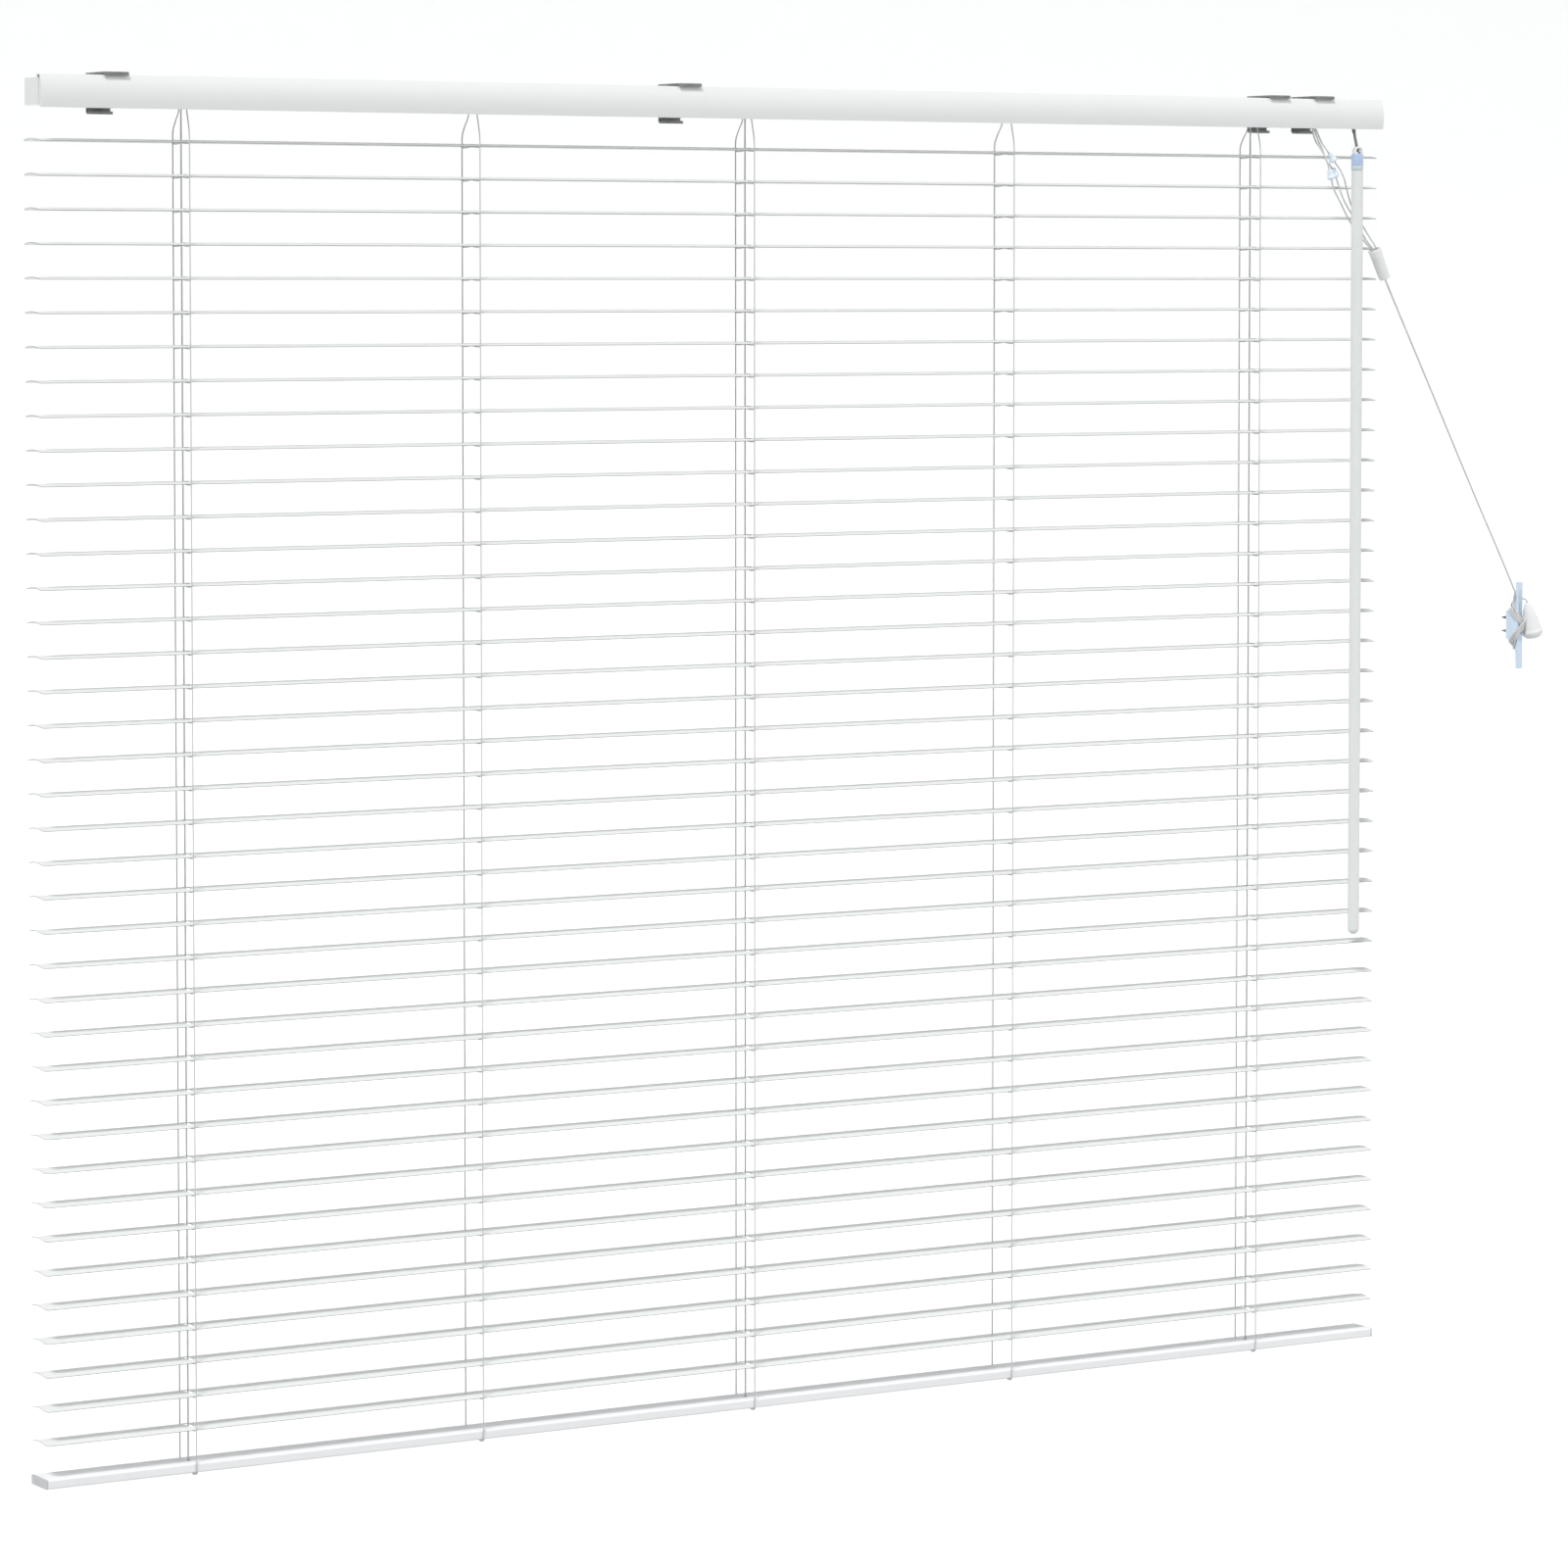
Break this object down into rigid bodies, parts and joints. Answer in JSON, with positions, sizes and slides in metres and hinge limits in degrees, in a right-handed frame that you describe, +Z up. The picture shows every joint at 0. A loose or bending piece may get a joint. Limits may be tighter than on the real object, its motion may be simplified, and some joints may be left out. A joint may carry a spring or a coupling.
{
  "type": "venetian blind",
  "caption": "Horizontal venetian blind with thin curved metal slats, a covered headrail, a tilt wand, and lift cords tied off on a wall cleat.",
  "frame": {"origin": "on the ceiling plane, midway between the two outer brackets' ceiling screw holes, which is the middle of the blind's width", "axes": "+X along the slats to the viewer's right, +Y towards the wall behind, +Z up"},
  "size_m": [1.2743, 0.0453, 0.9511],
  "materials": {
    "slat_white": "satin baked enamel on aluminium strip",
    "cover_white": "satin white powder coat",
    "rail_white": "satin white enamel",
    "rail_end": "fine matte moulded plastic, pale grey",
    "white_plastic": "moulded white plastic, soft gloss",
    "bracket_steel": "zinc-plated pressed steel",
    "rod_steel": "drawn steel",
    "wand_plastic": "milky white rod, soft gloss",
    "blue_plastic": "pale blue translucent moulded plastic",
    "cord": "braided polyester cord",
    "ladder_cord": "fine braided polyester string",
    "screw_steel": "zinc-plated steel"
  },
  "bodies": {
    "head": {"headrail": "rail_white", "front_cover": "cover_white", "head_end_caps": "white_plastic", "mounting_brackets": "bracket_steel", "rod_supports": "white_plastic", "cord_lock": "white_plastic", "lift_cords": "cord", "cord_fittings": "white_plastic", "cord_wrap": "cord", "cleat": "blue_plastic", "cleat_screws": "screw_steel", "tassel": "white_plastic"},
    "tilt_rod": {"tilt_rod": "rod_steel", "rod_fittings": "white_plastic"},
    "tilter_worm": {"tilter_worm": "screw_steel"},
    "wand_connector": {"wand_connector": "blue_plastic"},
    "wand": {"wand": "wand_plastic"},
    "ladder_front": {"ladder_front": "ladder_cord"},
    "ladder_back": {"ladder_back": "ladder_cord"},
    "bottom_rail": {"bottom_rail": "rail_white", "rail_fittings": "rail_end"},
    "slat_01": {"slat_01": "slat_white"},
    "slat_02": {"slat_02": "slat_white"},
    "slat_03": {"slat_03": "slat_white"},
    "slat_04": {"slat_04": "slat_white"},
    "slat_05": {"slat_05": "slat_white"},
    "slat_06": {"slat_06": "slat_white"},
    "slat_07": {"slat_07": "slat_white"},
    "slat_08": {"slat_08": "slat_white"},
    "slat_09": {"slat_09": "slat_white"},
    "slat_10": {"slat_10": "slat_white"},
    "slat_11": {"slat_11": "slat_white"},
    "slat_12": {"slat_12": "slat_white"},
    "slat_13": {"slat_13": "slat_white"},
    "slat_14": {"slat_14": "slat_white"},
    "slat_15": {"slat_15": "slat_white"},
    "slat_16": {"slat_16": "slat_white"},
    "slat_17": {"slat_17": "slat_white"},
    "slat_18": {"slat_18": "slat_white"},
    "slat_19": {"slat_19": "slat_white"},
    "slat_20": {"slat_20": "slat_white"},
    "slat_21": {"slat_21": "slat_white"},
    "slat_22": {"slat_22": "slat_white"},
    "slat_23": {"slat_23": "slat_white"},
    "slat_24": {"slat_24": "slat_white"},
    "slat_25": {"slat_25": "slat_white"},
    "slat_26": {"slat_26": "slat_white"},
    "slat_27": {"slat_27": "slat_white"},
    "slat_28": {"slat_28": "slat_white"},
    "slat_29": {"slat_29": "slat_white"},
    "slat_30": {"slat_30": "slat_white"},
    "slat_31": {"slat_31": "slat_white"},
    "slat_32": {"slat_32": "slat_white"},
    "slat_33": {"slat_33": "slat_white"},
    "slat_34": {"slat_34": "slat_white"},
    "slat_35": {"slat_35": "slat_white"},
    "slat_36": {"slat_36": "slat_white"},
    "slat_37": {"slat_37": "slat_white"},
    "slat_38": {"slat_38": "slat_white"},
    "slat_39": {"slat_39": "slat_white"}
  },
  "joints": [
    {"name": "tilt", "type": "hinge", "parent": "head", "child": "tilt_rod", "pos_m": [0, -0.00275, -0.013], "axis": [1, 0, 0], "range_deg": [-115.2, 115.2]},
    {"name": "worm_spin", "type": "hinge", "parent": "head", "child": "tilter_worm", "pos_m": [0.5284, -0.019, -0.04], "axis": [0, 0.3007, 0.9537], "range_deg": [-1728, 1728]},
    {"name": "wand_swing", "type": "hinge", "parent": "head", "child": "wand_connector", "pos_m": [0.5284, -0.019, -0.04], "axis": [-1, 0, 0], "range_deg": [0, 35]},
    {"name": "wand_spin", "type": "hinge", "parent": "wand_connector", "child": "wand", "pos_m": [0.5284, -0.019, -0.3], "axis": [0, 0, 1], "range_deg": [-1728, 1728]},
    {"name": "ladder_front_slide", "type": "slide", "parent": "head", "child": "ladder_front", "axis": [0, 0, 1], "range_m": [-0.0125, 0.0125], "deforming": ["ladder_front"]},
    {"name": "ladder_back_slide", "type": "slide", "parent": "head", "child": "ladder_back", "axis": [0, 0, 1], "range_m": [-0.0125, 0.0125], "deforming": ["ladder_back"]},
    {"name": "bottom_rail_tilt", "type": "hinge", "parent": "head", "child": "bottom_rail", "pos_m": [0, 0, -0.9463], "axis": [1, 0, 0], "range_deg": [-72, 72]},
    {"name": "slat_01_tilt", "type": "hinge", "parent": "head", "child": "slat_01", "pos_m": [0, 0, -0.046], "axis": [1, 0, 0], "range_deg": [-72, 72]},
    {"name": "slat_02_tilt", "type": "hinge", "parent": "head", "child": "slat_02", "pos_m": [0, 0, -0.069], "axis": [1, 0, 0], "range_deg": [-72, 72]},
    {"name": "slat_03_tilt", "type": "hinge", "parent": "head", "child": "slat_03", "pos_m": [0, 0, -0.092], "axis": [1, 0, 0], "range_deg": [-72, 72]},
    {"name": "slat_04_tilt", "type": "hinge", "parent": "head", "child": "slat_04", "pos_m": [0, 0, -0.115], "axis": [1, 0, 0], "range_deg": [-72, 72]},
    {"name": "slat_05_tilt", "type": "hinge", "parent": "head", "child": "slat_05", "pos_m": [0, 0, -0.138], "axis": [1, 0, 0], "range_deg": [-72, 72]},
    {"name": "slat_06_tilt", "type": "hinge", "parent": "head", "child": "slat_06", "pos_m": [0, 0, -0.161], "axis": [1, 0, 0], "range_deg": [-72, 72]},
    {"name": "slat_07_tilt", "type": "hinge", "parent": "head", "child": "slat_07", "pos_m": [0, 0, -0.184], "axis": [1, 0, 0], "range_deg": [-72, 72]},
    {"name": "slat_08_tilt", "type": "hinge", "parent": "head", "child": "slat_08", "pos_m": [0, 0, -0.207], "axis": [1, 0, 0], "range_deg": [-72, 72]},
    {"name": "slat_09_tilt", "type": "hinge", "parent": "head", "child": "slat_09", "pos_m": [0, 0, -0.23], "axis": [1, 0, 0], "range_deg": [-72, 72]},
    {"name": "slat_10_tilt", "type": "hinge", "parent": "head", "child": "slat_10", "pos_m": [0, 0, -0.253], "axis": [1, 0, 0], "range_deg": [-72, 72]},
    {"name": "slat_11_tilt", "type": "hinge", "parent": "head", "child": "slat_11", "pos_m": [0, 0, -0.276], "axis": [1, 0, 0], "range_deg": [-72, 72]},
    {"name": "slat_12_tilt", "type": "hinge", "parent": "head", "child": "slat_12", "pos_m": [0, 0, -0.299], "axis": [1, 0, 0], "range_deg": [-72, 72]},
    {"name": "slat_13_tilt", "type": "hinge", "parent": "head", "child": "slat_13", "pos_m": [0, 0, -0.322], "axis": [1, 0, 0], "range_deg": [-72, 72]},
    {"name": "slat_14_tilt", "type": "hinge", "parent": "head", "child": "slat_14", "pos_m": [0, 0, -0.345], "axis": [1, 0, 0], "range_deg": [-72, 72]},
    {"name": "slat_15_tilt", "type": "hinge", "parent": "head", "child": "slat_15", "pos_m": [0, 0, -0.368], "axis": [1, 0, 0], "range_deg": [-72, 72]},
    {"name": "slat_16_tilt", "type": "hinge", "parent": "head", "child": "slat_16", "pos_m": [0, 0, -0.391], "axis": [1, 0, 0], "range_deg": [-72, 72]},
    {"name": "slat_17_tilt", "type": "hinge", "parent": "head", "child": "slat_17", "pos_m": [0, 0, -0.414], "axis": [1, 0, 0], "range_deg": [-72, 72]},
    {"name": "slat_18_tilt", "type": "hinge", "parent": "head", "child": "slat_18", "pos_m": [0, 0, -0.437], "axis": [1, 0, 0], "range_deg": [-72, 72]},
    {"name": "slat_19_tilt", "type": "hinge", "parent": "head", "child": "slat_19", "pos_m": [0, 0, -0.46], "axis": [1, 0, 0], "range_deg": [-72, 72]},
    {"name": "slat_20_tilt", "type": "hinge", "parent": "head", "child": "slat_20", "pos_m": [0, 0, -0.483], "axis": [1, 0, 0], "range_deg": [-72, 72]},
    {"name": "slat_21_tilt", "type": "hinge", "parent": "head", "child": "slat_21", "pos_m": [0, 0, -0.506], "axis": [1, 0, 0], "range_deg": [-72, 72]},
    {"name": "slat_22_tilt", "type": "hinge", "parent": "head", "child": "slat_22", "pos_m": [0, 0, -0.529], "axis": [1, 0, 0], "range_deg": [-72, 72]},
    {"name": "slat_23_tilt", "type": "hinge", "parent": "head", "child": "slat_23", "pos_m": [0, 0, -0.552], "axis": [1, 0, 0], "range_deg": [-72, 72]},
    {"name": "slat_24_tilt", "type": "hinge", "parent": "head", "child": "slat_24", "pos_m": [0, 0, -0.575], "axis": [1, 0, 0], "range_deg": [-72, 72]},
    {"name": "slat_25_tilt", "type": "hinge", "parent": "head", "child": "slat_25", "pos_m": [0, 0, -0.598], "axis": [1, 0, 0], "range_deg": [-72, 72]},
    {"name": "slat_26_tilt", "type": "hinge", "parent": "head", "child": "slat_26", "pos_m": [0, 0, -0.621], "axis": [1, 0, 0], "range_deg": [-72, 72]},
    {"name": "slat_27_tilt", "type": "hinge", "parent": "head", "child": "slat_27", "pos_m": [0, 0, -0.644], "axis": [1, 0, 0], "range_deg": [-72, 72]},
    {"name": "slat_28_tilt", "type": "hinge", "parent": "head", "child": "slat_28", "pos_m": [0, 0, -0.667], "axis": [1, 0, 0], "range_deg": [-72, 72]},
    {"name": "slat_29_tilt", "type": "hinge", "parent": "head", "child": "slat_29", "pos_m": [0, 0, -0.69], "axis": [1, 0, 0], "range_deg": [-72, 72]},
    {"name": "slat_30_tilt", "type": "hinge", "parent": "head", "child": "slat_30", "pos_m": [0, 0, -0.713], "axis": [1, 0, 0], "range_deg": [-72, 72]},
    {"name": "slat_31_tilt", "type": "hinge", "parent": "head", "child": "slat_31", "pos_m": [0, 0, -0.736], "axis": [1, 0, 0], "range_deg": [-72, 72]},
    {"name": "slat_32_tilt", "type": "hinge", "parent": "head", "child": "slat_32", "pos_m": [0, 0, -0.759], "axis": [1, 0, 0], "range_deg": [-72, 72]},
    {"name": "slat_33_tilt", "type": "hinge", "parent": "head", "child": "slat_33", "pos_m": [0, 0, -0.782], "axis": [1, 0, 0], "range_deg": [-72, 72]},
    {"name": "slat_34_tilt", "type": "hinge", "parent": "head", "child": "slat_34", "pos_m": [0, 0, -0.805], "axis": [1, 0, 0], "range_deg": [-72, 72]},
    {"name": "slat_35_tilt", "type": "hinge", "parent": "head", "child": "slat_35", "pos_m": [0, 0, -0.828], "axis": [1, 0, 0], "range_deg": [-72, 72]},
    {"name": "slat_36_tilt", "type": "hinge", "parent": "head", "child": "slat_36", "pos_m": [0, 0, -0.851], "axis": [1, 0, 0], "range_deg": [-72, 72]},
    {"name": "slat_37_tilt", "type": "hinge", "parent": "head", "child": "slat_37", "pos_m": [0, 0, -0.874], "axis": [1, 0, 0], "range_deg": [-72, 72]},
    {"name": "slat_38_tilt", "type": "hinge", "parent": "head", "child": "slat_38", "pos_m": [0, 0, -0.897], "axis": [1, 0, 0], "range_deg": [-72, 72]},
    {"name": "slat_39_tilt", "type": "hinge", "parent": "head", "child": "slat_39", "pos_m": [0, 0, -0.92], "axis": [1, 0, 0], "range_deg": [-72, 72]}
  ],
  "couplings": [
    {"joint": "worm_spin", "follows": "tilt", "ratio": 15},
    {"joint": "wand_spin", "follows": "tilt", "ratio": 15},
    {"joint": "ladder_front_slide", "follows": "tilt", "m_per_rad": -0.006},
    {"joint": "ladder_back_slide", "follows": "tilt", "m_per_rad": 0.006},
    {"joint": "bottom_rail_tilt", "follows": "tilt", "ratio": 0.625},
    {"joint": "slat_01_tilt", "follows": "tilt", "ratio": 0.625},
    {"joint": "slat_02_tilt", "follows": "tilt", "ratio": 0.625},
    {"joint": "slat_03_tilt", "follows": "tilt", "ratio": 0.625},
    {"joint": "slat_04_tilt", "follows": "tilt", "ratio": 0.625},
    {"joint": "slat_05_tilt", "follows": "tilt", "ratio": 0.625},
    {"joint": "slat_06_tilt", "follows": "tilt", "ratio": 0.625},
    {"joint": "slat_07_tilt", "follows": "tilt", "ratio": 0.625},
    {"joint": "slat_08_tilt", "follows": "tilt", "ratio": 0.625},
    {"joint": "slat_09_tilt", "follows": "tilt", "ratio": 0.625},
    {"joint": "slat_10_tilt", "follows": "tilt", "ratio": 0.625},
    {"joint": "slat_11_tilt", "follows": "tilt", "ratio": 0.625},
    {"joint": "slat_12_tilt", "follows": "tilt", "ratio": 0.625},
    {"joint": "slat_13_tilt", "follows": "tilt", "ratio": 0.625},
    {"joint": "slat_14_tilt", "follows": "tilt", "ratio": 0.625},
    {"joint": "slat_15_tilt", "follows": "tilt", "ratio": 0.625},
    {"joint": "slat_16_tilt", "follows": "tilt", "ratio": 0.625},
    {"joint": "slat_17_tilt", "follows": "tilt", "ratio": 0.625},
    {"joint": "slat_18_tilt", "follows": "tilt", "ratio": 0.625},
    {"joint": "slat_19_tilt", "follows": "tilt", "ratio": 0.625},
    {"joint": "slat_20_tilt", "follows": "tilt", "ratio": 0.625},
    {"joint": "slat_21_tilt", "follows": "tilt", "ratio": 0.625},
    {"joint": "slat_22_tilt", "follows": "tilt", "ratio": 0.625},
    {"joint": "slat_23_tilt", "follows": "tilt", "ratio": 0.625},
    {"joint": "slat_24_tilt", "follows": "tilt", "ratio": 0.625},
    {"joint": "slat_25_tilt", "follows": "tilt", "ratio": 0.625},
    {"joint": "slat_26_tilt", "follows": "tilt", "ratio": 0.625},
    {"joint": "slat_27_tilt", "follows": "tilt", "ratio": 0.625},
    {"joint": "slat_28_tilt", "follows": "tilt", "ratio": 0.625},
    {"joint": "slat_29_tilt", "follows": "tilt", "ratio": 0.625},
    {"joint": "slat_30_tilt", "follows": "tilt", "ratio": 0.625},
    {"joint": "slat_31_tilt", "follows": "tilt", "ratio": 0.625},
    {"joint": "slat_32_tilt", "follows": "tilt", "ratio": 0.625},
    {"joint": "slat_33_tilt", "follows": "tilt", "ratio": 0.625},
    {"joint": "slat_34_tilt", "follows": "tilt", "ratio": 0.625},
    {"joint": "slat_35_tilt", "follows": "tilt", "ratio": 0.625},
    {"joint": "slat_36_tilt", "follows": "tilt", "ratio": 0.625},
    {"joint": "slat_37_tilt", "follows": "tilt", "ratio": 0.625},
    {"joint": "slat_38_tilt", "follows": "tilt", "ratio": 0.625},
    {"joint": "slat_39_tilt", "follows": "tilt", "ratio": 0.625}
  ]
}
